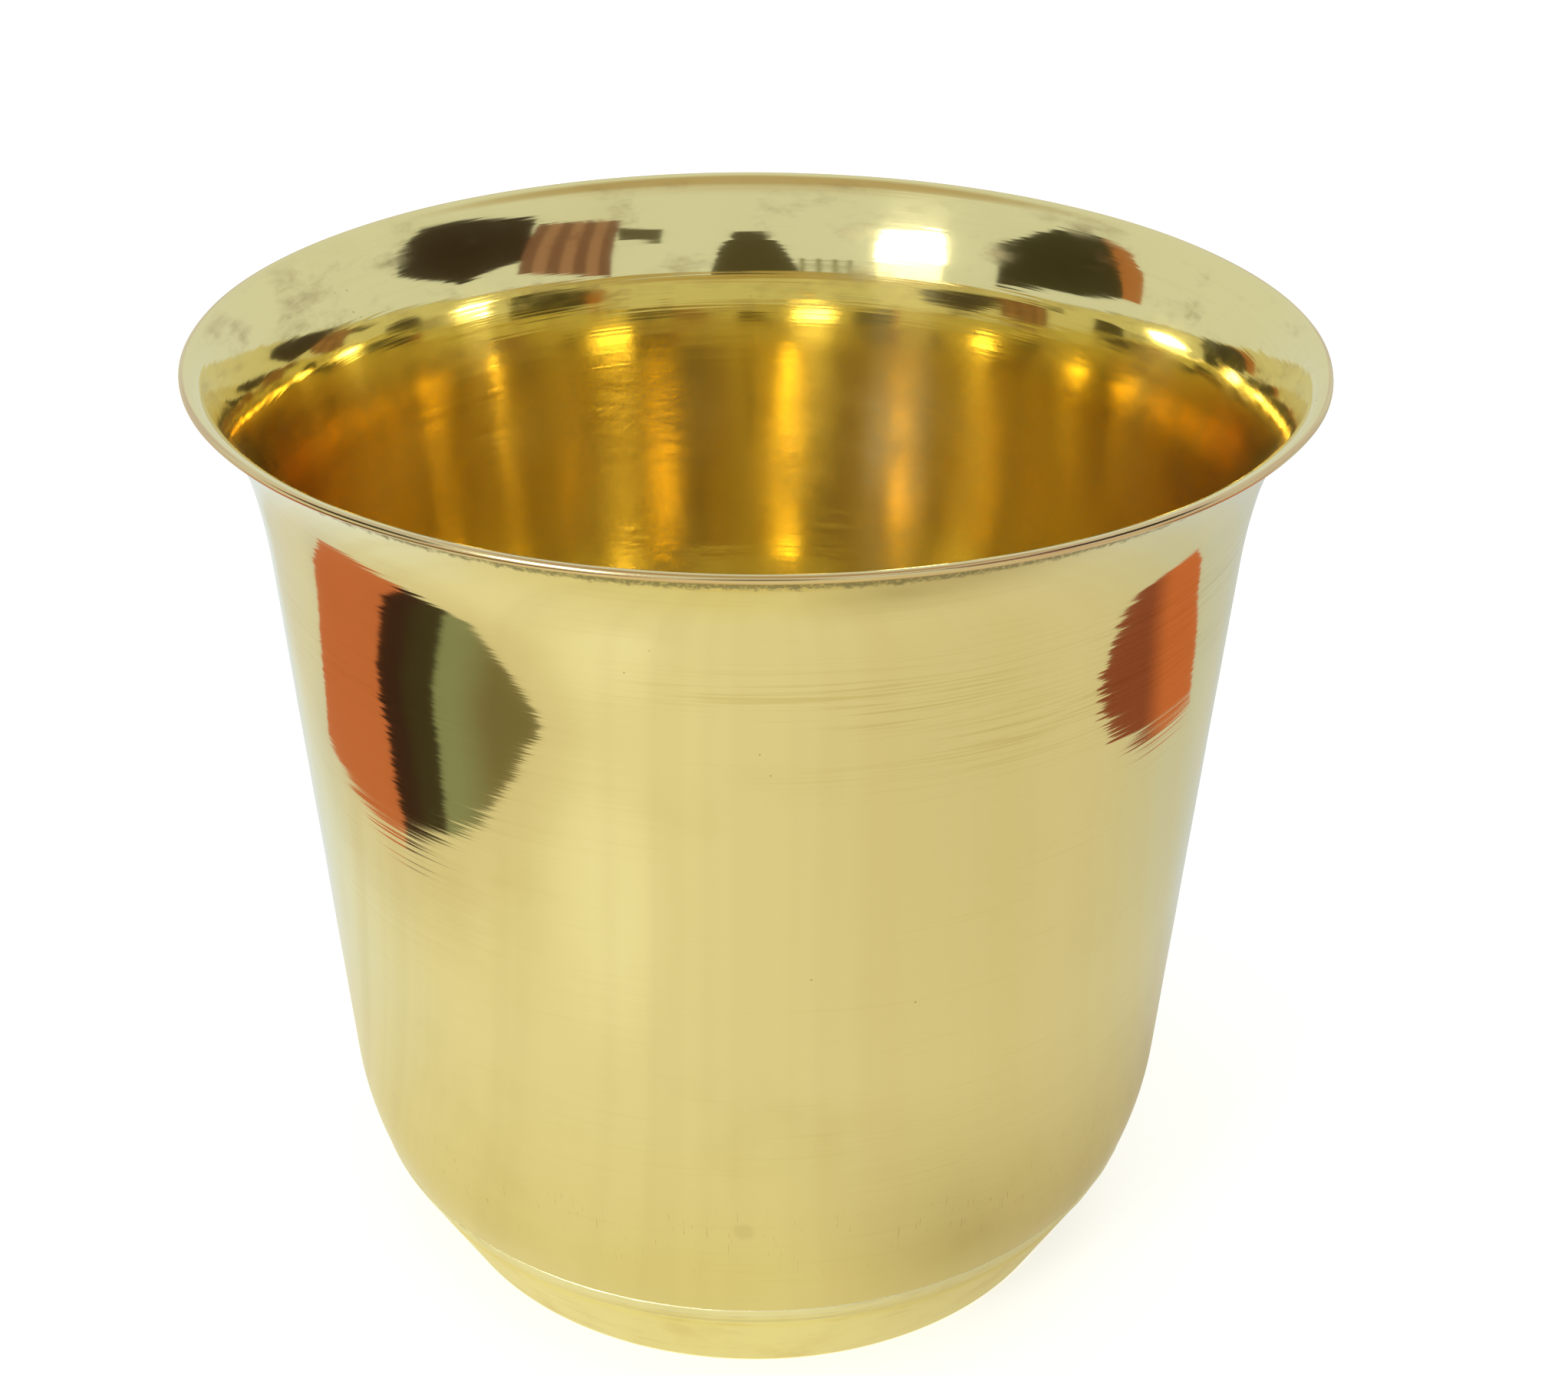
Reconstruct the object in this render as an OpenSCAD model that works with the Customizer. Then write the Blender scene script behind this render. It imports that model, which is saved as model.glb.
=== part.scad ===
// Open brass pot: a spun sheet vessel with a trumpet rim, standing on a tapered foot ring.
// Origin at the centre of the foot's base, +Z up, millimetres.
// Every piece is round about Z, so each one is a half section turned through a full circle.

/* [Overall] */
// Outside diameter of the rim
rim_d = 200; // [180:5:240]
// Height from the foot's base to the top of the rim
pot_h = 179; // [160:1:200]
// Thickness of the spun sheet
sheet_t = 1.4; // [1:0.1:2]

/* [Rim] */
// Angle of the lip from the vertical, in degrees
lip_angle = 80; // [65:1:85]
// Radius under the tight curl just inside the lip
curl_r = 3.5; // [2.5:0.5:6]
// Angle where the curl hands over to the long flare
curl_start = 39; // [30:1:50]
// Radius under the long flare
flare_r = 37.5; // [25:0.5:50]
// Angle where the flare hands over to the gentle neck
neck_start = 12; // [8:1:16]
// Radius of the neck, which ends in the straight wall
neck_r = 120; // [80:5:160]

/* [Wall] */
// Lean of the straight wall from the vertical, in degrees
wall_taper = 4.2; // [2:0.1:6]
// Height at which the wall starts to turn in
wall_foot_z = 39.5; // [38:0.5:41.5]

/* [Bottom] */
// Outside radius of the shoulder, where the wall turns in
shoulder_r = 63; // [56:1:68]
// Angle where the shoulder hands over to the tight heel
heel_start = 20; // [18:0.5:21]
// Outside radius of the heel, which ends in the flat floor
heel_r = 8; // [7:0.5:10]

/* [Foot ring] */
// Diameter of the foot ring at its base
foot_d = 128; // [120:1:136]
// Height of the foot ring
foot_h = 20.2; // [19:0.1:21]
// Width of the ring's top that stands out from the pot
ledge_w = 0.4; // [0.3:0.1:1]
// Thickness of the ring, measured level
foot_wall = 2.4; // [2:0.1:4]
// Drop from the ring's top to the turned line
line_drop = 2.4; // [2:0.1:4]

/* [Brazing] */
// Height of the pale band of braze up the pot from the ring's top
band_h = 2.5; // [2:0.1:3]
// How far the band's top edge stands proud of the pot
band_proud = 0.15; // [0.1:0.05:0.3]
// Leg of the braze fillet in the corner inside the ring
seam_leg = 1.6; // [1:0.1:2.4]

/* [Hidden] */
$fn = 256;

brass = [0.84, 0.75, 0.49];
foot_brass = [0.90, 0.82, 0.52];
braze = [0.88, 0.84, 0.62];

// Radius and depth of the turned line in the foot ring
line_r = 0.35;
line_depth = 0.18;
// Height of the band's dressed top edge, and how far its section reaches in before the pot cuts it
band_edge_h = 0.35;
band_reach = 2;
// Turn from one point to the next on the sheet's curves and round its lip, in degrees
bend_step = 2;
lip_step = 15;

// Direction square to the sheet, inward and up, where the sheet leans by angle a
function inward(a) = [-cos(a), sin(a)];
// Points on a curve of the section, from one lean angle to another.
// The radius is negative where the curve's centre is inside the pot.
function arc(centre, radius, from, to, step = bend_step) =
    let (steps = ceil(abs(to - from) / step))
    [for (i = [0:steps]) centre + radius * inward(from + (to - from) * i / steps)];
function reversed(list) = [for (i = [len(list) - 1:-1:0]) list[i]];

// Centres of the rim's curves, from the lip inward
lip_r = sheet_t / 2;
lip_c = [rim_d / 2 - lip_r, pot_h - lip_r];
curl_c = lip_c - (curl_r + lip_r) * inward(lip_angle);
flare_c = curl_c - (flare_r - curl_r) * inward(curl_start);
neck_c = flare_c - (neck_r - flare_r) * inward(neck_start);

// Outside corner where the straight wall meets the shoulder
wall_top = neck_c + neck_r * inward(wall_taper);
wall_foot = [wall_top[0] - (wall_top[1] - wall_foot_z) * tan(wall_taper), wall_foot_z];

// Centres of the bottom's curves, and the floor's underside
shoulder_c = wall_foot + shoulder_r * inward(wall_taper);
heel_c = shoulder_c - (shoulder_r - heel_r) * inward(heel_start);
floor_z = heel_c[1] - heel_r;
heel_top = heel_c[1] - heel_r * sin(heel_start);

// Radius of the pot's outside at height z, on the heel or on the shoulder above it
function round_at(centre, radius, z) = centre[0] + sqrt(pow(radius, 2) - pow(centre[1] - z, 2));
function pot_at(z) = z < heel_top ? round_at(heel_c, heel_r, z) : round_at(shoulder_c, shoulder_r, z);

// Section line at depth d inside the pot's outside surface, from the lip down to the axis
function sheet_line(d) = concat(
    arc(curl_c, curl_r + d, lip_angle, curl_start),
    arc(flare_c, flare_r + d, curl_start, neck_start),
    arc(neck_c, neck_r + d, neck_start, wall_taper),
    arc(shoulder_c, d - shoulder_r, wall_taper, heel_start),
    arc(heel_c, d - heel_r, heel_start, 90),
    [[0, floor_z + d]]);

// The foot ring's straight sides
ring_top = pot_at(foot_h) + ledge_w;
foot_slope = (ring_top - foot_d / 2) / foot_h;
function foot_outside(z) = foot_d / 2 + foot_slope * z;
function foot_inside(z) = foot_outside(z) - foot_wall;

// One sheet, spun from a round-edged lip to the floor
module pot_body() {
    lip_end = arc(lip_c, lip_r, lip_angle, lip_angle + 180, lip_step);
    color(brass) rotate_extrude()
        polygon(concat(sheet_line(0), reversed(sheet_line(sheet_t)), lip_end));
}

// Everything inside the pot's outside surface, which the foot and the braze fit against
module pot_space() {
    polygon(concat(sheet_line(0), [[0, pot_h]]));
}

// Tapered ring that the heel sits in, with one turned line below its top
module foot_ring() {
    line_z = foot_h - line_drop;
    color(foot_brass) rotate_extrude() difference() {
        polygon([[foot_inside(0), 0], [foot_outside(0), 0], [ring_top, foot_h],
                 [foot_inside(foot_h), foot_h]]);
        pot_space();
        translate([foot_outside(line_z) + line_r - line_depth, line_z]) circle(r = line_r);
    }
}

// Braze that fills the groove over the ring's top, dressed to a band round the pot
module outer_braze_band() {
    top = foot_h + band_h;
    edge = top - band_edge_h;
    inside = ring_top - band_reach;
    color(braze) rotate_extrude() difference() {
        polygon([[inside, foot_h], [ring_top, foot_h], [pot_at(edge) + band_proud, edge],
                 [pot_at(top), top], [inside, top]]);
        pot_space();
    }
}

// Fillet of braze in the corner between the ring's inside and the pot's floor
module inner_braze_seam() {
    low = floor_z - seam_leg;
    color(braze) rotate_extrude() difference() {
        polygon([[foot_inside(low), low], [foot_inside(foot_h), foot_h],
                 [foot_inside(low) - (foot_h - low), foot_h]]);
        pot_space();
    }
}

pot_body();
foot_ring();
outer_braze_band();
inner_braze_seam();
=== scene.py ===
"""Brass pot on a foot ring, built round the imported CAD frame: spun body, foot ring and its brazing."""

import math
import random

import bmesh
import bpy
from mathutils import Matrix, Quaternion, Vector


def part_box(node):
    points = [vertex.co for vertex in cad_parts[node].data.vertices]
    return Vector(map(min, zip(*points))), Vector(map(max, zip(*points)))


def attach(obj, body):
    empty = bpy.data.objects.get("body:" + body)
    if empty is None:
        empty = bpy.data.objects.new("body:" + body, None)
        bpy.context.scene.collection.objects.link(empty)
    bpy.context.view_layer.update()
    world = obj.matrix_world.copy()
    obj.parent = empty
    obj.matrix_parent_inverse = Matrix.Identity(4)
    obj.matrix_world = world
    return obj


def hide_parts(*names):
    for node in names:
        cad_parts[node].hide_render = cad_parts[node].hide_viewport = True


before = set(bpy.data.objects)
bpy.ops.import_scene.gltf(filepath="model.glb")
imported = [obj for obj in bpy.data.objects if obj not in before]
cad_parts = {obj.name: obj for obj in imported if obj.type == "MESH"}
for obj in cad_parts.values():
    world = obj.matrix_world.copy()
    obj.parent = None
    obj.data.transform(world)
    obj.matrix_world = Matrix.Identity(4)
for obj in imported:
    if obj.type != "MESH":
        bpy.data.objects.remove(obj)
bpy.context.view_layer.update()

MM = 0.001

# Sizes taken from the frame
POT_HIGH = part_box("pot_body")[1]
FOOT_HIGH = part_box("foot_ring")[1]
RIM_R = POT_HIGH.x
POT_H = POT_HIGH.z
FOOT_H = FOOT_HIGH.z
RING_TOP_R = FOOT_HIGH.x
BAND_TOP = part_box("outer_braze_band")[1].z
SEAM_LOW_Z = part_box("inner_braze_seam")[0].z

# The sheet's section, as the design has it
SHEET_T = 1.4 * MM
LIP_ANGLE = 80
CURL_R = 3.5 * MM
CURL_START = 39
FLARE_R = 37.5 * MM
NECK_START = 12
NECK_R = 120 * MM
WALL_TAPER = 4.2
WALL_FOOT_Z = 39.5 * MM
SHOULDER_R = 63 * MM
HEEL_START = 20
HEEL_R = 8 * MM

# The foot ring and the brazing
FOOT_R = 64 * MM
FOOT_WALL = 2.4 * MM
EDGE_ROUND = 0.25 * MM
LINE_DROP = 2.4 * MM
LINE_R = 0.35 * MM
LINE_DEPTH = 0.18 * MM
BAND_EDGE_H = 0.35 * MM
BAND_PROUD = 0.15 * MM
# How far the band laps over the ring's top, and how far inside the ring's face it starts
BAND_LAP = 0.05 * MM
BAND_INSET = 0.02 * MM
# How far the foot and the braze reach into the pot's own metal, so that no gap shows
BITE = 0.3 * MM

# How finely the lathe turns its sections
BODY_SEGMENTS = 400
FOOT_SEGMENTS = 360
WALL_RINGS = 40
FLOOR_RINGS = 10
CURL_STEPS, FLARE_STEPS, NECK_STEPS, SHOULDER_STEPS, HEEL_STEPS = 8, 16, 8, 12, 16
LIP_STEPS, GROOVE_STEPS, BAND_STEPS, SEAM_STEPS = 14, 6, 5, 8
# A section's point closer to the axis than this lies on it
ON_AXIS = 0.001 * MM
# Height over which the sheet's unevenness fades in above the foot
FADE_H = 20 * MM
# The search for a height on the wall leaves out points closer to the axis than this, such as the floor's
WALL_MIN_R = 60 * MM


# ---------------------------------------------------------------- section of the sheet

def inward(angle):
    """Direction square to the sheet, inward and up, where it leans by angle degrees from the vertical."""
    a = math.radians(angle)
    return Vector((-math.cos(a), math.sin(a)))


def arc(centre, radius, start, end, steps):
    """Points on a curve of the section. The radius is negative where the centre is inside the pot."""
    return [centre + radius * inward(start + (end - start) * i / steps) for i in range(steps + 1)]


def straight(start, end, steps):
    """Points between two others, without the two ends."""
    return [start.lerp(end, i / steps) for i in range(1, steps)]


LIP_R = SHEET_T / 2
LIP_C = Vector((RIM_R - LIP_R, POT_H - LIP_R))
CURL_C = LIP_C - (CURL_R + LIP_R) * inward(LIP_ANGLE)
FLARE_C = CURL_C - (FLARE_R - CURL_R) * inward(CURL_START)
NECK_C = FLARE_C - (NECK_R - FLARE_R) * inward(NECK_START)
WALL_TOP = NECK_C + NECK_R * inward(WALL_TAPER)
WALL_LEAN_IN = (WALL_TOP.y - WALL_FOOT_Z) * math.tan(math.radians(WALL_TAPER))
WALL_FOOT = Vector((WALL_TOP.x - WALL_LEAN_IN, WALL_FOOT_Z))
SHOULDER_C = WALL_FOOT + SHOULDER_R * inward(WALL_TAPER)
HEEL_C = SHOULDER_C - (SHOULDER_R - HEEL_R) * inward(HEEL_START)
FLOOR_Z = HEEL_C.y - HEEL_R
HEEL_TOP = HEEL_C.y - HEEL_R * math.sin(math.radians(HEEL_START))


def pot_at(z):
    """Radius of the pot's outside at height z, on the heel or on the shoulder above it."""
    centre, radius = (HEEL_C, HEEL_R) if z < HEEL_TOP else (SHOULDER_C, SHOULDER_R)
    return centre.x + math.sqrt(radius ** 2 - (centre.y - z) ** 2)


def sheet_line(depth):
    """Section line at a depth inside the pot's outside surface, from the lip down to the axis."""
    curl = arc(CURL_C, CURL_R + depth, LIP_ANGLE, CURL_START, CURL_STEPS)
    flare = arc(FLARE_C, FLARE_R + depth, CURL_START, NECK_START, FLARE_STEPS)
    neck = arc(NECK_C, NECK_R + depth, NECK_START, WALL_TAPER, NECK_STEPS)
    shoulder = arc(SHOULDER_C, depth - SHOULDER_R, WALL_TAPER, HEEL_START, SHOULDER_STEPS)
    heel = arc(HEEL_C, depth - HEEL_R, HEEL_START, 90, HEEL_STEPS)
    wall = straight(neck[-1], shoulder[0], WALL_RINGS)
    middle = Vector((0, FLOOR_Z + depth))
    bottom = straight(heel[-1], middle, FLOOR_RINGS) + [middle]
    return curl + flare[1:] + neck[1:] + wall + shoulder + heel[1:] + bottom


def foot_outside(z):
    return FOOT_R + (RING_TOP_R - FOOT_R) * z / FOOT_H


def runs(section):
    """Distance along the section of each of its points."""
    out, total = [0.0], 0.0
    for a, b in zip(section, section[1:]):
        total += (b - a).length
        out.append(total)
    return out


# ---------------------------------------------------------------- lathe

def lathe(name, section, segments, closed, shift=None):
    """Turns a section of (radius, height) points about Z. Shift says how far each point moves at each turn.
    The distance along the section is kept on the mesh as the attribute run."""
    bm = bmesh.new()
    run_layer = bm.verts.layers.float.new("run")
    rings = []
    for place, run in zip(section, runs(section)):
        on_axis = place.x < ON_AXIS
        ring = []
        for i in range(1 if on_axis else segments):
            turn = 2 * math.pi * i / segments
            move = shift(place, turn) if shift else Vector((0, 0))
            r = 0 if on_axis else place.x + move.x
            v = bm.verts.new((r * math.sin(turn), -r * math.cos(turn), place.y + move.y))
            v[run_layer] = run
            ring.append(v)
        rings.append(ring)
    pairs = list(zip(rings, rings[1:]))
    if closed:
        pairs.append((rings[-1], rings[0]))
    for low, high in pairs:
        for i in range(segments):
            j = (i + 1) % segments
            corners = [low[i % len(low)], low[j % len(low)], high[j % len(high)], high[i % len(high)]]
            distinct = list(dict.fromkeys(corners))
            if len(distinct) > 2:
                bm.faces.new(distinct)
    bmesh.ops.recalc_face_normals(bm, faces=bm.faces)
    for face in bm.faces:
        face.smooth = True
    mesh = bpy.data.meshes.new(name)
    bm.to_mesh(mesh)
    bm.free()
    obj = bpy.data.objects.new(name, mesh)
    bpy.context.scene.collection.objects.link(obj)
    return obj


# ---------------------------------------------------------------- pieces

def waves(seed, count, turns, rise, size):
    """A smooth uneven surface: count waves added up, each with its own number of crests round the pot and its
    own rise, in radians per metre of height. Size is how uneven the sum is."""
    rng = random.Random(seed)
    parts = [(rng.randint(*turns), rng.uniform(-rise, rise), rng.uniform(0, 2 * math.pi), rng.uniform(0.4, 1))
             for _ in range(count)]
    scale = size / math.sqrt(sum(p[3] ** 2 for p in parts) / 2)

    def at(turn, z):
        return scale * sum(a * math.cos(n * turn + k * z + phase) for n, k, phase, a in parts)
    return at


# Beating and polishing leave the wall very slightly uneven, mostly in long upright waves
UPRIGHT_WAVES = waves(seed=11, count=9, turns=(5, 19), rise=45, size=0.030 * MM)
LEVEL_WAVES = waves(seed=12, count=6, turns=(1, 5), rise=320, size=0.012 * MM)


def body_shift(place, turn):
    """Unevenness of the sheet, fading out towards the foot."""
    fade = min(1, max(0, (place.y - BAND_TOP) / FADE_H))
    return Vector((fade * (UPRIGHT_WAVES(turn, place.y) + LEVEL_WAVES(turn, place.y)), 0))


OUTSIDE_LINE = list(reversed(sheet_line(0)))
LIP_LINE = arc(LIP_C, LIP_R, LIP_ANGLE + 180, LIP_ANGLE, LIP_STEPS)[1:-1]
BODY_SECTION = OUTSIDE_LINE + LIP_LINE + sheet_line(SHEET_T)
BODY_RUNS = runs(BODY_SECTION)
# Where the outside ends and the inside starts, along the section
LIP_LOW_RUN = BODY_RUNS[len(OUTSIDE_LINE) - 1]
LIP_TOP_RUN = BODY_RUNS[len(OUTSIDE_LINE) + len(LIP_LINE)]


def run_at_height(z):
    """Distance along the outside's section at height z on the wall."""
    wall = [i for i, place in enumerate(OUTSIDE_LINE) if place.x > WALL_MIN_R]
    return BODY_RUNS[min(wall, key=lambda i: abs(OUTSIDE_LINE[i].y - z))]


def make_body():
    return lathe("spun_pot_body", BODY_SECTION, BODY_SEGMENTS, False, body_shift)


def rounded(points, radius, steps=4):
    """A closed outline with its corners rounded by short curves."""
    out = []
    for i, p in enumerate(points):
        a, b = points[i - 1], points[(i + 1) % len(points)]
        reach = min(radius, (a - p).length / 3, (b - p).length / 3)
        start = p + (a - p).normalized() * reach
        end = p + (b - p).normalized() * reach
        for k in range(steps + 1):
            t = k / steps
            out.append(start * (1 - t) ** 2 + p * 2 * t * (1 - t) + end * t ** 2)
    return out


def make_foot():
    """The ring, with its turned line. Its top reaches a little way into the pot's heel."""
    line_z = FOOT_H - LINE_DROP
    line_c = Vector((foot_outside(line_z) + LINE_R - LINE_DEPTH, line_z))
    half = math.degrees(math.acos(1 - LINE_DEPTH / LINE_R))
    lean = math.degrees(math.atan2(RING_TOP_R - FOOT_R, FOOT_H))
    groove = arc(line_c, LINE_R, lean - half, lean + half, GROOVE_STEPS)
    seat_z = FLOOR_Z + BITE
    outline = [Vector((FOOT_R - FOOT_WALL, 0)), Vector((FOOT_R, 0)), Vector((RING_TOP_R, FOOT_H)),
               Vector((pot_at(FOOT_H) - BITE, FOOT_H)), Vector((foot_outside(seat_z) - FOOT_WALL, seat_z))]
    outer = rounded(outline, EDGE_ROUND)
    # The groove comes after the base's two corners
    base = 2 * len(outer) // len(outline)
    section = outer[:base] + straight(outer[base - 1], groove[0], GROOVE_STEPS) + groove + outer[base:]
    return lathe("turned_foot_ring", section, FOOT_SEGMENTS, True)


def make_band():
    """The pale band of braze: filled and dressed by hand, so its edge wanders slightly."""
    edge = BAND_TOP - BAND_EDGE_H
    low = FOOT_H - BAND_LAP
    start, end = Vector((RING_TOP_R, FOOT_H)), Vector((pot_at(edge) + BAND_PROUD, edge))
    face = [Vector((RING_TOP_R - BAND_INSET, low))] + straight(start, end, BAND_STEPS) + [end]
    top = [Vector((pot_at(BAND_TOP), BAND_TOP)), Vector((pot_at(BAND_TOP) - BITE, BAND_TOP)),
           Vector((pot_at(low) - BITE, low))]
    bumps = waves(seed=21, count=14, turns=(9, 70), rise=0, size=0.03 * MM)

    def shift(place, turn):
        return Vector((bumps(turn, 0), 0)) if place in face[1:] else Vector((0, 0))
    return lathe("brazed_outer_band", face + top, FOOT_SEGMENTS, True, shift)


def make_seam():
    """Braze as it ran in the corner inside the ring."""
    leg = FLOOR_Z - SEAM_LOW_Z
    low = Vector((foot_outside(SEAM_LOW_Z) - FOOT_WALL, SEAM_LOW_Z))
    high = Vector((low.x - leg, FLOOR_Z))
    face = [low] + straight(low, high, SEAM_STEPS) + [high]
    # The back is hidden in the ring and the pot
    back = [Vector((high.x, FLOOR_Z + BITE)), Vector((low.x + 3 * BITE + leg / 2, FLOOR_Z + BITE)),
            Vector((low.x + BITE, SEAM_LOW_Z))]
    bumps = waves(seed=22, count=16, turns=(7, 80), rise=0, size=0.12 * MM)

    def shift(place, turn):
        return Vector((1, 1)) * abs(bumps(turn, 0)) if place in face[1:-1] else Vector((0, 0))
    return lathe("brazed_inner_seam", face + back, FOOT_SEGMENTS, True, shift)


# ---------------------------------------------------------------- materials

# A mix node has sockets of the same name for each kind of value. These are the share and the two colours
MIX_INPUTS, MIX_OUTPUT = (0, 6, 7), 2


class Tree:
    """The nodes of a material, or of the world, added one at a time. Each call gives back the new node's main
    output. Marks are so many per metre along the section and so many per unit round the pot, and a ramp takes
    the span of its first two numbers to the span of its last two."""

    def __init__(self, owner):
        self.owner = owner
        owner.use_nodes = True
        self.nodes = owner.node_tree.nodes
        self.links = owner.node_tree.links
        self.nodes.clear()
        self.kept = {}

    def put(self, kind, inputs=(), output=0, **settings):
        node = self.nodes.new(kind)
        for key, value in settings.items():
            setattr(node, key, value)
        for key, value in dict(inputs).items():
            if isinstance(value, bpy.types.NodeSocket):
                self.links.new(value, node.inputs[key])
            elif value is not None:
                node.inputs[key].default_value = value
        return node.outputs[output] if node.outputs else None

    def maths(self, operation, a, b):
        return self.put("ShaderNodeMath", {0: a, 1: b}, operation=operation)

    def vector(self, operation, a, b=None):
        key = {"SCALE": "Scale"}.get(operation, 1)
        return self.put("ShaderNodeVectorMath", {0: a, key: b}, operation=operation)

    def add(self, *values):
        total = values[0]
        for value in values[1:]:
            total = self.maths("ADD", total, value)
        return total

    def times(self, *values):
        total = values[0]
        for value in values[1:]:
            total = self.maths("MULTIPLY", total, value)
        return total

    def ramp(self, value, low, high, to_low=0.0, to_high=1.0):
        """Value taken smoothly from the span low..high to the span to_low..to_high."""
        return self.put("ShaderNodeMapRange", {
            "Value": value, "From Min": low, "From Max": high, "To Min": to_low, "To Max": to_high},
            interpolation_type="SMOOTHSTEP")

    def noise(self, vector, scale, detail=2.0, rough=0.5):
        return self.put("ShaderNodeTexNoise", {"Vector": vector, "Scale": scale, "Detail": detail,
                                               "Roughness": rough})

    def mix(self, share, a, b):
        node = self.nodes.new("ShaderNodeMix")
        node.data_type = "RGBA"
        for key, value in zip(MIX_INPUTS, (share, a, b)):
            if isinstance(value, bpy.types.NodeSocket):
                self.links.new(value, node.inputs[key])
            else:
                node.inputs[key].default_value = value
        return node.outputs[MIX_OUTPUT]

    # Coordinates that many marks share, made once for each material

    def keep(self, name, make):
        if name not in self.kept:
            self.kept[name] = make()
        return self.kept[name]

    def place(self):
        return self.keep("place", lambda: self.put("ShaderNodeTexCoord", output="Object"))

    def run(self):
        return self.keep("run", lambda: self.put("ShaderNodeAttribute", output="Fac", attribute_name="run"))

    def split(self, vector):
        """A vector's three parts."""
        parts = self.nodes.new("ShaderNodeSeparateXYZ")
        self.links.new(vector, parts.inputs[0])
        return parts.outputs

    def across(self):
        """How far to the right, in metres."""
        return self.keep("axes", lambda: self.split(self.place()))[0]

    def back(self):
        """How far to the back, in metres."""
        return self.keep("axes", lambda: self.split(self.place()))[1]

    def near(self, point, inner, outer):
        """1 within inner of a point, fading to 0 at outer."""
        span = self.put("ShaderNodeVectorMath", {0: self.place(), 1: point}, output="Value",
                        operation="DISTANCE")
        return self.ramp(span, inner, outer, 1.0, 0.0)

    def past_line(self, point, square):
        """How far past a line on the floor, which runs through point and is square to the given direction."""
        along = self.put("ShaderNodeVectorMath", {0: self.place(), 1: (square[0], square[1], 0)},
                         output="Value", operation="DOT_PRODUCT")
        return self.add(along, -square[0] * point[0] - square[1] * point[1])

    def round(self):
        """The direction out from the pot's axis."""
        def make():
            level = self.put("ShaderNodeCombineXYZ", {"X": self.across(), "Y": self.back()})
            return self.vector("NORMALIZE", level)
        return self.keep("round", make)

    def turn(self):
        """The angle round the pot, in radians, 0 at +Y and growing towards -X."""
        return self.keep("turn", lambda: self.maths("ARCTAN2", self.times(self.across(), -1.0), self.back()))

    def marks(self, across, around, slant=0.0):
        """Coordinates for marks round the pot: across per metre along the section, around per unit round it.
        Slant leans the marks, in metres of run for each radian of turn."""
        run = self.run() if not slant else self.add(self.run(), self.times(self.turn(), slant))
        up = self.put("ShaderNodeCombineXYZ", {"Z": self.times(run, across)})
        return self.vector("ADD", self.vector("SCALE", self.round(), around), up)

    def lean(self, slope):
        """The surface's normal, tilted along the section by slope."""
        normal = self.put("ShaderNodeNewGeometry", output="Normal")
        across = self.vector("CROSS_PRODUCT", (0, 0, 1), self.round())
        along = self.vector("CROSS_PRODUCT", normal, across)
        return self.vector("NORMALIZE", self.vector("ADD", normal, self.vector("SCALE", along, slope)))

    def centred(self, value, size):
        """A noise value, 0 to 1, taken to a slope about zero."""
        return self.times(self.add(value, -0.5), size)

    def band(self, value, low, high, soft):
        """1 between low and high, fading to 0 over soft on each side."""
        return self.times(self.ramp(value, low - soft, low + soft),
                          self.ramp(value, high - soft, high + soft, 1.0, 0.0))

    def output(self, shader):
        self.put("ShaderNodeOutputMaterial", {"Surface": shader})
        return self.owner

    def glow(self, colour, strength=1.0):
        return self.output(self.put("ShaderNodeEmission", {"Color": colour, "Strength": strength}))


def material_tree(name):
    return Tree(bpy.data.materials.new(name))


# Colours of the metal, clean and worn, of what lies on it, and of the light painted on the lip and on the
# foot
BRASS = (0.88, 0.765, 0.365, 1)
BRASS_WORN = (0.77, 0.65, 0.27, 1)
# Dark olive of the band just under the lip
UNDER_LIP_DARK = (0.085, 0.080, 0.035, 1)
SMUDGE = (0.40, 0.27, 0.12, 1)
GREY_HAZE = (0.62, 0.55, 0.33, 1)
# Brownish pink painted on the lip: a painted reflection of the warm room
LIP_PAINTED_REFLECTION = (0.72, 0.50, 0.27, 1)
# The foot's brass is set brighter than the pot's as painted light, for the bright floor that the foot mirrors
FOOT_BRASS_PAINTED_BRIGHT = (0.98, 0.88, 0.41, 1)
FOOT_WORN = (0.84, 0.69, 0.27, 1)
BRAZE_COLOUR = (0.95, 0.89, 0.54, 1)
BRAZE_WORN = (0.84, 0.76, 0.42, 1)

# Heights of the streaky belt under the rim and of the scratches over the foot, as low and high ends
BELT = (137 * MM, 157 * MM)
SCRATCHES = (34 * MM, 47 * MM)
# The round stain over the foot: how far to the left, and how high
STAIN_LEFT, STAIN_Z = 2 * MM, 44 * MM
# Middle of the patch that was scrubbed inside
SCRUBBED = (27 * MM, 80 * MM, 122 * MM)
# Where the inside's finish starts and where its brushing starts and is full, in from the lip
INSIDE_IN = 4 * MM
BRUSHED_START, BRUSHED_FULL = 30 * MM, 55 * MM
# Where the dark band under the lip starts and is full, down the outside from the lip
UNDER_LIP_DARK_START, UNDER_LIP_DARK_FULL = 4.2 * MM, 3.0 * MM


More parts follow.
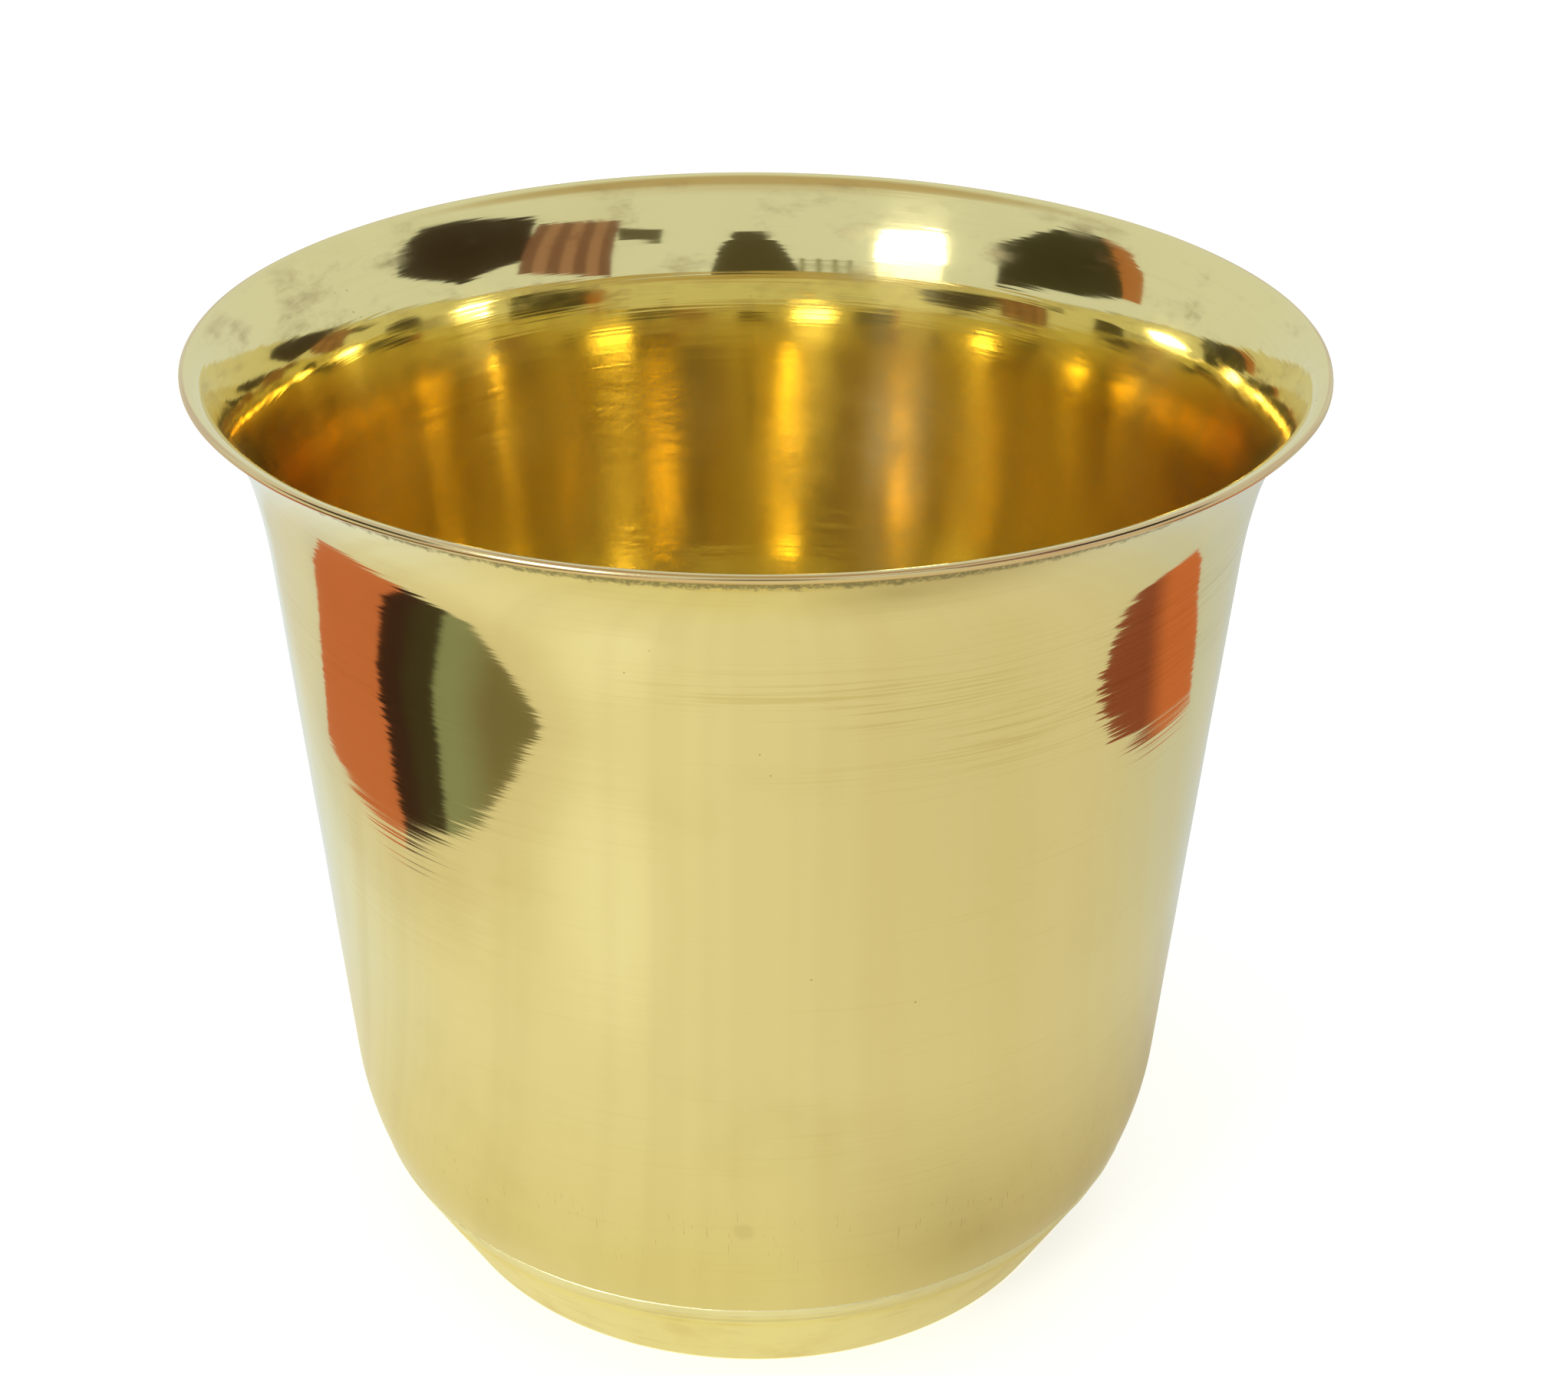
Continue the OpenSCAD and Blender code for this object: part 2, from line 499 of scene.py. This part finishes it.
def body_finish():
    """Spun and polished sheet: lines round the pot, faint stains, a dark band under the lip, a coarser
    inside.
    """
    tree = material_tree("polished_brass")
    run = tree.run()
    inside = tree.ramp(run, LIP_TOP_RUN, LIP_TOP_RUN + INSIDE_IN)
    within = tree.ramp(run, LIP_TOP_RUN + BRUSHED_START, LIP_TOP_RUN + BRUSHED_FULL)

    # Polishing lines
    fine = tree.noise(tree.marks(2400.0, 2.2), 1.0, 2.0)
    middle = tree.noise(tree.marks(620.0, 1.5), 1.0, 2.0)
    wide = tree.noise(tree.marks(190.0, 1.1), 1.0, 2.0)
    patchy = tree.ramp(tree.noise(tree.marks(60.0, 1.8), 1.0, 2.0), 0.35, 0.7, 0.5, 1.3)
    belt = tree.times(tree.band(run, run_at_height(BELT[0]), run_at_height(BELT[1]), 6 * MM),
                      tree.ramp(tree.noise(tree.marks(60.0, 1.4), 1.0), 0.36, 0.58),
                      tree.ramp(tree.across(), -30 * MM, 20 * MM, 0.5, 1.0))
    slope = tree.add(tree.times(tree.centred(fine, 0.085), patchy), tree.centred(middle, 0.016),
                     tree.centred(wide, 0.005), tree.times(belt, tree.centred(fine, 0.030)))

    # The inside was brushed by hand, with strokes that lean both ways
    stroke_a = tree.noise(tree.marks(2600.0, 8.0, 0.020), 1.0, 2.0)
    stroke_b = tree.noise(tree.marks(2200.0, 7.0, -0.045), 1.0, 2.0)
    brushed = tree.ramp(tree.noise(tree.marks(22.0, 2.6), 1.0, 2.0), 0.40, 0.62)
    slope = tree.add(slope, tree.times(within, brushed, tree.add(tree.centred(stroke_a, 0.10),
                                                                 tree.centred(stroke_b, 0.08))))

    # Colour
    stain = tree.noise(tree.place(), 24.0, 4.0, 0.6)
    streak = tree.noise(tree.marks(900.0, 2.6), 1.0, 3.0)
    hairs = tree.noise(tree.marks(2100.0, 3.4), 1.0, 2.0)
    worn = tree.add(tree.ramp(stain, 0.50, 0.78, 0.0, 0.45), tree.ramp(streak, 0.56, 0.80, 0.0, 0.18),
                    tree.times(belt, tree.ramp(hairs, 0.46, 0.66, 0.0, 1.0)))
    colour = tree.mix(tree.maths("MINIMUM", worn, 1.0), BRASS, BRASS_WORN)

    # Tiny pits and short scratches
    cells = tree.put("ShaderNodeTexVoronoi", {"Vector": tree.place(), "Scale": 240.0, "Randomness": 1.0})
    pits = tree.add(cells, tree.times(tree.noise(tree.place(), 2600.0), 0.10))
    spread = tree.noise(tree.place(), 60.0, 2.0)
    pit = tree.times(tree.ramp(pits, 0.085, 0.105, 1.0, 0.0), tree.ramp(spread, 0.60, 0.66))
    scratch = tree.times(tree.ramp(tree.noise(tree.marks(260.0, 300.0), 1.0, 1.0), 0.70, 0.76),
                         tree.band(run, run_at_height(SCRATCHES[0]), run_at_height(SCRATCHES[1]), 5 * MM))
    stained = tree.near((-STAIN_LEFT, -pot_at(STAIN_Z), STAIN_Z), 0.9 * MM, 2.5 * MM)
    marked = tree.add(tree.times(pit, 0.6), tree.times(scratch, 0.4), tree.times(stained, 0.15))
    colour = tree.mix(tree.maths("MINIMUM", marked, 1.0), colour, SMUDGE)

    # A dark, rougher, ragged band in the corner just under the lip, and smudges over the flare
    ragged = tree.noise(tree.marks(500.0, 60.0), 1.0, 3.0, 0.7)
    corner = tree.times(tree.ramp(tree.add(run, tree.times(tree.add(ragged, -0.5), 4.0 * MM)),
                                  LIP_LOW_RUN - UNDER_LIP_DARK_START, LIP_LOW_RUN - UNDER_LIP_DARK_FULL),
                        tree.ramp(tree.noise(tree.marks(1400.0, 160.0), 1.0, 2.0), 0.30, 0.55, 0.45, 1.0))
    corner = tree.times(corner, tree.ramp(run, LIP_LOW_RUN - 0.2 * MM, LIP_LOW_RUN + 0.15 * MM, 1.0, 0.0))
    blotch = tree.times(tree.ramp(tree.noise(tree.marks(110.0, 5.0), 1.0, 4.0, 0.6), 0.50, 0.78, 0.0, 0.70),
                        tree.ramp(tree.noise(tree.marks(900.0, 9.0), 1.0, 2.0), 0.35, 0.60, 0.5, 1.0),
                        inside, tree.maths("SUBTRACT", 1.0, within))
    colour = tree.mix(tree.times(corner, 0.65), tree.mix(blotch, colour, SMUDGE), UNDER_LIP_DARK)
    # Painted reflection: the lip is tinted brownish pink where it would mirror the warm room
    lip = tree.band(run, LIP_LOW_RUN, LIP_TOP_RUN, 0.2 * MM)
    colour = tree.mix(tree.times(lip, tree.ramp(hairs, 0.40, 0.60, 0.45, 0.9)), colour, LIP_PAINTED_REFLECTION)
    scrubbed = tree.times(tree.near(SCRUBBED, 4 * MM, 34 * MM),
                          tree.ramp(tree.noise(tree.place(), 70.0, 3.0), 0.35, 0.62),
                          tree.ramp(tree.add(stroke_a, stroke_b), 0.80, 1.15, 0.35, 0.75))
    clouds = tree.ramp(tree.noise(tree.marks(16.0, 2.2), 1.0, 3.0), 0.60, 0.74, 0.0, 0.35)
    haze = tree.add(tree.times(within, clouds), tree.times(within, scrubbed))
    colour = tree.mix(tree.maths("MINIMUM", haze, 1.0), colour, GREY_HAZE)

    # A mirror finish, with a share of brushed metal whose lines run round the pot
    rough = tree.add(tree.times(tree.add(streak, -0.3), 0.05), tree.times(tree.add(stain, -0.5), 0.03),
                     tree.times(blotch, 0.25), tree.times(haze, 0.22), tree.times(corner, 0.4),
                     tree.times(lip, 0.10), tree.times(within, brushed, 0.05), 0.055)
    normal = tree.lean(slope)
    polished = tree.put("ShaderNodeBsdfPrincipled", {
        "Base Color": colour, "Metallic": 1.0, "Normal": normal,
        "Roughness": tree.maths("MAXIMUM", rough, 0.03)})
    brushed_metal = tree.put("ShaderNodeBsdfPrincipled", {
        "Base Color": colour, "Metallic": 1.0, "Normal": normal, "Roughness": 0.22,
        "Anisotropic": 1.0, "Anisotropic Rotation": 0.25,
        "Tangent": tree.put("ShaderNodeTangent", direction_type="RADIAL", axis="Z")})
    share = tree.add(tree.times(within, tree.add(tree.times(brushed, 0.12), 0.06)),
                     tree.times(inside, 0.05), 0.02)
    return tree.output(tree.put("ShaderNodeMixShader", {0: share, 1: polished, 2: brushed_metal}))


def turned_finish(name, colour, worn_colour, roughness, lines, size):
    """Satin brass turned on a lathe: close lines, with small darker marks along them."""
    tree = material_tree(name)
    fine = tree.noise(tree.marks(lines, 3.0), 1.0, 2.0)
    coarse = tree.noise(tree.marks(lines / 5, 6.0), 1.0, 3.0)
    stain = tree.noise(tree.place(), 60.0, 4.0, 0.6)
    worn = tree.add(tree.ramp(stain, 0.48, 0.75, 0.0, 0.6), tree.ramp(coarse, 0.52, 0.78, 0.0, 0.5))
    return tree.output(tree.put("ShaderNodeBsdfPrincipled", {
        "Base Color": tree.mix(tree.maths("MINIMUM", worn, 1.0), colour, worn_colour), "Metallic": 1.0,
        "Roughness": tree.add(tree.times(tree.add(stain, -0.4), 0.15), roughness),
        "Normal": tree.lean(tree.add(tree.centred(fine, size), tree.centred(coarse, size / 2)))}))


braze_finish = turned_finish("braze", BRAZE_COLOUR, BRAZE_WORN, 0.46, 1500.0, 0.016)
for piece, node, slot, finish in (
        (make_body(), "pot_body", "polished_brass", body_finish()),
        # The foot's finish carries painted light: its brass is brighter than the pot's
        (make_foot(), "foot_ring", "foot_brass",
         turned_finish("foot_brass", FOOT_BRASS_PAINTED_BRIGHT, FOOT_WORN, 0.34, 2200.0, 0.04)),
        (make_band(), "outer_braze_band", "braze", braze_finish),
        (make_seam(), "inner_braze_seam", "braze", braze_finish)):
    piece.data.materials.append(finish)
    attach(piece, "root")
    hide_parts(node)


# ---------------------------------------------------------------- studio

# The middle of the pot's mouth, and how far from it the cards that stand round the table are
MOUTH = Vector((0, 0, POT_H))
SKY_DISTANCE = 2.0
# Elevations, in degrees, where the daylight starts to brown and is brown, and the strengths of the light
CEILING_START, CEILING_FULL = 52, 74
DAYLIGHT, FLOOR_GLOW = 0.82, 0.58
# Half the width of the floor and of the sheet on it, and how far out the coloured things reach
FLOOR_HALF = 6.0
FAR = 0.45
# The sheet's straight left edge; the coloured things lie beyond it and beyond the sheet's right corner
LEFT_BACK, LEFT_FRONT = Vector((-0.2225, 0.090)), Vector((-0.150, -0.600))
# The sheet's tones, at the left and at the right: in front, behind, and close to the pot, where a painted
# shadow of the pot darkens it and painted bounce light from the brass yellows it
SHEET_FRONT = ((0.86, 0.83, 0.68, 1), (0.72, 0.68, 0.56, 1))
SHEET_BACK = ((0.77, 0.85, 0.90, 1), (0.60, 0.64, 0.64, 1))
SHEET_PAINTED_POT_SHADOW = ((0.79, 0.74, 0.48, 1), (0.48, 0.42, 0.27, 1))
# The shade along its left edge, its sunny spot with the spot's place, and the rays round the pot
SHEET_EDGE = (0.60, 0.50, 0.36, 1)
SHEET_SUNNY, SUNNY_PLACE = (0.98, 0.98, 0.88, 1), (-0.105, -0.185, 0)
SHEET_RAYS = (0.66, 0.59, 0.42, 1)
# The curtain's folds and the grille's bars, in degrees as the mouth sees them
CURTAIN_FOLDS, CURTAIN_START, CURTAIN_FOLD = 7, 37.0, 3.4
GRILLE_BARS, GRILLE_START, GRILLE_END, GRILLE_PITCH = 4, -11.0, -22.5, 3.5
GRILLE_LOW, GRILLE_HIGH, GRILLE_RISE = 4, 15, 2.4
GRILLE_UPRIGHT_W, GRILLE_LEVEL_H = 1, 0.6
CURTAIN_TONES = ((0.20, 0.10, 0.075, 1), (0.36, 0.20, 0.15, 1))
GRILLE_TONE = (0.22, 0.21, 0.12, 1)
ALL_ROUND = [(-FLOOR_HALF, -FLOOR_HALF), (FLOOR_HALF, -FLOOR_HALF), (FLOOR_HALF, FLOOR_HALF),
             (-FLOOR_HALF, FLOOR_HALF)]


def flat(name, corners, finish):
    """A flat piece of the set."""
    mesh = bpy.data.meshes.new(name)
    mesh.from_pydata(corners, [], [range(len(corners))])
    mesh.materials.append(finish)
    obj = bpy.data.objects.new(name, mesh)
    bpy.context.scene.collection.objects.link(obj)
    return obj


def card(name, corners, finish):
    """A glowing card seen only in the pot's reflections."""
    obj = flat(name, corners, finish)
    obj.visible_camera = False
    obj.visible_diffuse = False
    obj.visible_shadow = False


def plain_card(name, corners, colour, strength=1.0):
    card(name, corners, material_tree(name).glow(colour, strength))


def sheet_glow():
    """The pale sheet as the pot shows it: cooler behind, brighter to the left, and darker and yellower close
    to the pot, a painted shadow of the pot with painted bounce light from the brass.
    """
    tree = material_tree("pale_sheet")
    rightward = tree.ramp(tree.across(), -0.12, 0.20)
    front = tree.mix(rightward, *SHEET_FRONT)
    back = tree.mix(rightward, *SHEET_BACK)
    colour = tree.mix(tree.ramp(tree.back(), -0.10, 0.12), front, back)
    # Painted shadow of the pot on the sheet, darker on the right, yellowed by painted bounce light from the
    # brass
    painted_pot_shadow = tree.mix(tree.ramp(tree.across(), 0.0, 0.07), *SHEET_PAINTED_POT_SHADOW)
    colour = tree.mix(tree.near((0, 0, 0), RIM_R * 0.85, RIM_R * 1.6), colour, painted_pot_shadow)
    # Shaded along its left edge, with one sunny spot in front of the pot
    edge_run = LEFT_BACK - LEFT_FRONT
    from_edge = tree.past_line(LEFT_BACK, Vector((edge_run.y, -edge_run.x)).normalized())
    colour = tree.mix(tree.ramp(from_edge, 0.0, 0.055, 0.40, 0.0), colour, SHEET_EDGE)
    sunny = tree.times(tree.near(SUNNY_PLACE, 0.012, 0.060), 0.75)
    colour = tree.mix(sunny, colour, SHEET_SUNNY)
    colour = tree.mix(tree.ramp(tree.noise(tree.place(), 11.0, 3.0), 0.30, 0.70, 0.0, 0.30), colour, front)
    rays = tree.noise(tree.vector("SCALE", tree.round(), 7.0), 1.0, 3.0)
    return tree.glow(tree.mix(tree.ramp(rays, 0.40, 0.72, 0.0, 0.22), colour, SHEET_RAYS))


def on_floor(points, lift=1 * MM):
    return [(x, y, lift) for x, y in points]


def away(azimuth, elevation):
    """Direction from the pot's mouth, azimuth in degrees from -Y towards +X."""
    a, e = math.radians(azimuth), math.radians(elevation)
    return Vector((math.sin(a) * math.cos(e), -math.cos(a) * math.cos(e), math.sin(e)))


def skyward(*directions):
    """Corners of a card, each given by the azimuth and elevation in which the mouth sees it."""
    return [MOUTH + away(azimuth, elevation) * SKY_DISTANCE for azimuth, elevation in directions]


def floor_finish():
    """Pale and lit from all round, so the floor glows a little under the pot too."""
    tree = material_tree("pale_floor")
    tone = tree.noise(tree.place(), 3.0)
    colour = tree.mix(tone, (0.64, 0.62, 0.57, 1), (0.66, 0.64, 0.58, 1))
    return tree.output(tree.put("ShaderNodeBsdfPrincipled", {
        "Base Color": colour, "Roughness": 0.9, "Specular IOR Level": 0.0,
        "Emission Color": (0.96, 0.98, 1.0, 1), "Emission Strength": FLOOR_GLOW}))


def left_edge(y):
    return LEFT_BACK.lerp(LEFT_FRONT, (LEFT_BACK.y - y) / (LEFT_BACK.y - LEFT_FRONT.y))


def blended_glow(name, first, steps):
    """One colour after another from back to front, each given with the line where it starts: a point, the
    line's slope and how many millimetres soft it is."""
    tree = material_tree(name)
    colour = first
    for corner, slope, soft, then in steps:
        past = tree.past_line(corner, (slope, 1))
        colour = tree.mix(tree.ramp(past, -soft * MM, soft * MM, 1.0, 0.0), colour, then)
    return tree.glow(colour)


def softbox(name, azimuth, elevation, width, height, power, distance):
    """A soft light on the floor and on the satin metal, which no mirror shows."""
    light = bpy.data.lights.new(name, "AREA")
    light.shape = "RECTANGLE"
    light.size, light.size_y = width, height
    light.energy = power
    obj = bpy.data.objects.new(name, light)
    out = away(azimuth, elevation)
    obj.location = MOUTH + out * distance
    obj.rotation_mode = "QUATERNION"
    obj.rotation_quaternion = out.to_track_quat("Z", "Y")
    obj.visible_glossy = False
    bpy.context.scene.collection.objects.link(obj)


flat("pale_floor", on_floor(ALL_ROUND, 0), floor_finish())

# What stands round the table, seen only as reflections
card("pale_sheet", on_floor(ALL_ROUND, 0.5 * MM), sheet_glow())
left_glow = blended_glow("things_left", (0.58, 0.17, 0.08, 1), (
    (left_edge(-0.037), 0.25, 4.0, (0.040, 0.016, 0.012, 1)),
    (left_edge(-0.062), 0.06, 12.0, (0.045, 0.036, 0.018, 1)),
    (left_edge(-0.086), -0.19, 4.0, (0.25, 0.28, 0.19, 1)),
    (left_edge(-0.125), -0.28, 26.0, (0.19, 0.165, 0.085, 1))))
right_glow = blended_glow("things_right", (0.58, 0.16, 0.06, 1), (
    ((0.245, 0.030), 0.05, 26.0, (0.26, 0.07, 0.04, 1)),))
card("things_left", on_floor([LEFT_BACK, (-FAR, 0.156), (-FAR, -0.690), LEFT_FRONT]), left_glow)
card("things_right", on_floor([(0.238, 0.101), (0.249, 0.000), (0.256, -0.045), (0.275, -0.078),
                               (FAR, -0.110), (FAR, 0.180)]), right_glow)
plain_card("door_right", skyward((97, 21), (99, 32), (98, 42), (87, 45), (63, 45), (59, 22), (77, 12)),
           (0.03, 0.018, 0.010, 1))
for fold in range(CURTAIN_FOLDS):
    side = CURTAIN_START + fold * CURTAIN_FOLD
    plain_card("curtain_%d" % fold, skyward((side, 6 + fold), (side + CURTAIN_FOLD, 7 + fold),
                                            (side + CURTAIN_FOLD, 42), (side, 41)), CURTAIN_TONES[fold % 2])
plain_card("box_right", skyward((37, 37), (25, 34), (25, 26), (36, 29)), (0.10, 0.09, 0.05, 1))
plain_card("table_front", skyward((12, 5), (10, 20), (5.5, 31), (-2.4, 31), (-8, 20), (-11, 5)),
           (0.07, 0.06, 0.03, 1))
for bar in range(GRILLE_BARS):
    side = GRILLE_START - bar * GRILLE_PITCH
    end = side - GRILLE_UPRIGHT_W
    plain_card("grille_%d" % bar, skyward((side, GRILLE_LOW), (side, GRILLE_HIGH), (end, GRILLE_HIGH),
                                          (end, GRILLE_LOW)), GRILLE_TONE)
    level = GRILLE_LOW + 1 + bar * GRILLE_RISE
    top = level + GRILLE_LEVEL_H
    plain_card("grille_level_%d" % bar, skyward((GRILLE_START, level), (GRILLE_END, level),
                                                (GRILLE_END, top), (GRILLE_START, top)), GRILLE_TONE)
plain_card("window_front", skyward((-29, 17), (-30, 26), (-33, 34), (-49.5, 36), (-48, 17)),
           (1, 1, 1, 1), 18.0)
plain_card("window_low", skyward((-29, 4), (-29, 17), (-48, 17), (-47, 4)), (0.95, 0.97, 0.85, 1), 2.2)
plain_card("door_left", skyward((-64, 32), (-86, 43), (-98, 40), (-98, 13), (-83, 10), (-61, 9)),
           (0.04, 0.035, 0.012, 1))
plain_card("door_left_edge", skyward((-98, 40), (-103, 35), (-106, 25), (-104, 12), (-98, 13)),
           (0.42, 0.16, 0.05, 1))

softbox("window", azimuth=-38, elevation=22, width=0.75, height=1.15, power=24, distance=3.0)
softbox("overhead", azimuth=0, elevation=88, width=2.5, height=2.5, power=20, distance=2.5)


def daylight():
    """Soft daylight from all round, browner overhead."""
    world = bpy.data.worlds.new("soft_daylight")
    bpy.context.scene.world = world
    tree = Tree(world)
    up = tree.split(tree.put("ShaderNodeTexCoord", output="Generated"))[2]
    overhead = tree.ramp(up, math.sin(math.radians(CEILING_START)), math.sin(math.radians(CEILING_FULL)))
    colour = tree.mix(overhead, (0.88, 0.94, 0.97, 1), (0.62, 0.52, 0.36, 1))
    light = tree.put("ShaderNodeBackground", {"Color": colour, "Strength": DAYLIGHT})
    tree.put("ShaderNodeOutputWorld", {0: light})


daylight()

# The photograph's viewing angle, fitted to the pot's outline
CAMERA_PLACE = (0, -0.423863, 0.332847)
CAMERA_LENS, SENSOR_WIDTH = 58.12, 36
CAMERA_PITCH, CAMERA_YAW, CAMERA_ROLL = 0.48678, 0.01222, 0.00797

camera_data = bpy.data.cameras.new("camera")
camera_data.lens = CAMERA_LENS
camera_data.sensor_width = SENSOR_WIDTH
camera = bpy.data.objects.new("camera", camera_data)
bpy.context.scene.collection.objects.link(camera)
camera.location = CAMERA_PLACE
camera.rotation_mode = "QUATERNION"
level_share = math.cos(CAMERA_PITCH)
ahead = Vector((math.sin(CAMERA_YAW) * level_share, math.cos(CAMERA_YAW) * level_share,
                -math.sin(CAMERA_PITCH)))
camera.rotation_quaternion = ahead.to_track_quat("-Z", "Y") @ Quaternion((0, 0, 1), CAMERA_ROLL)
bpy.context.scene.camera = camera

scene = bpy.context.scene
scene.view_settings.view_transform = "Standard"
scene.cycles.max_bounces = 20
scene.cycles.glossy_bounces = 16
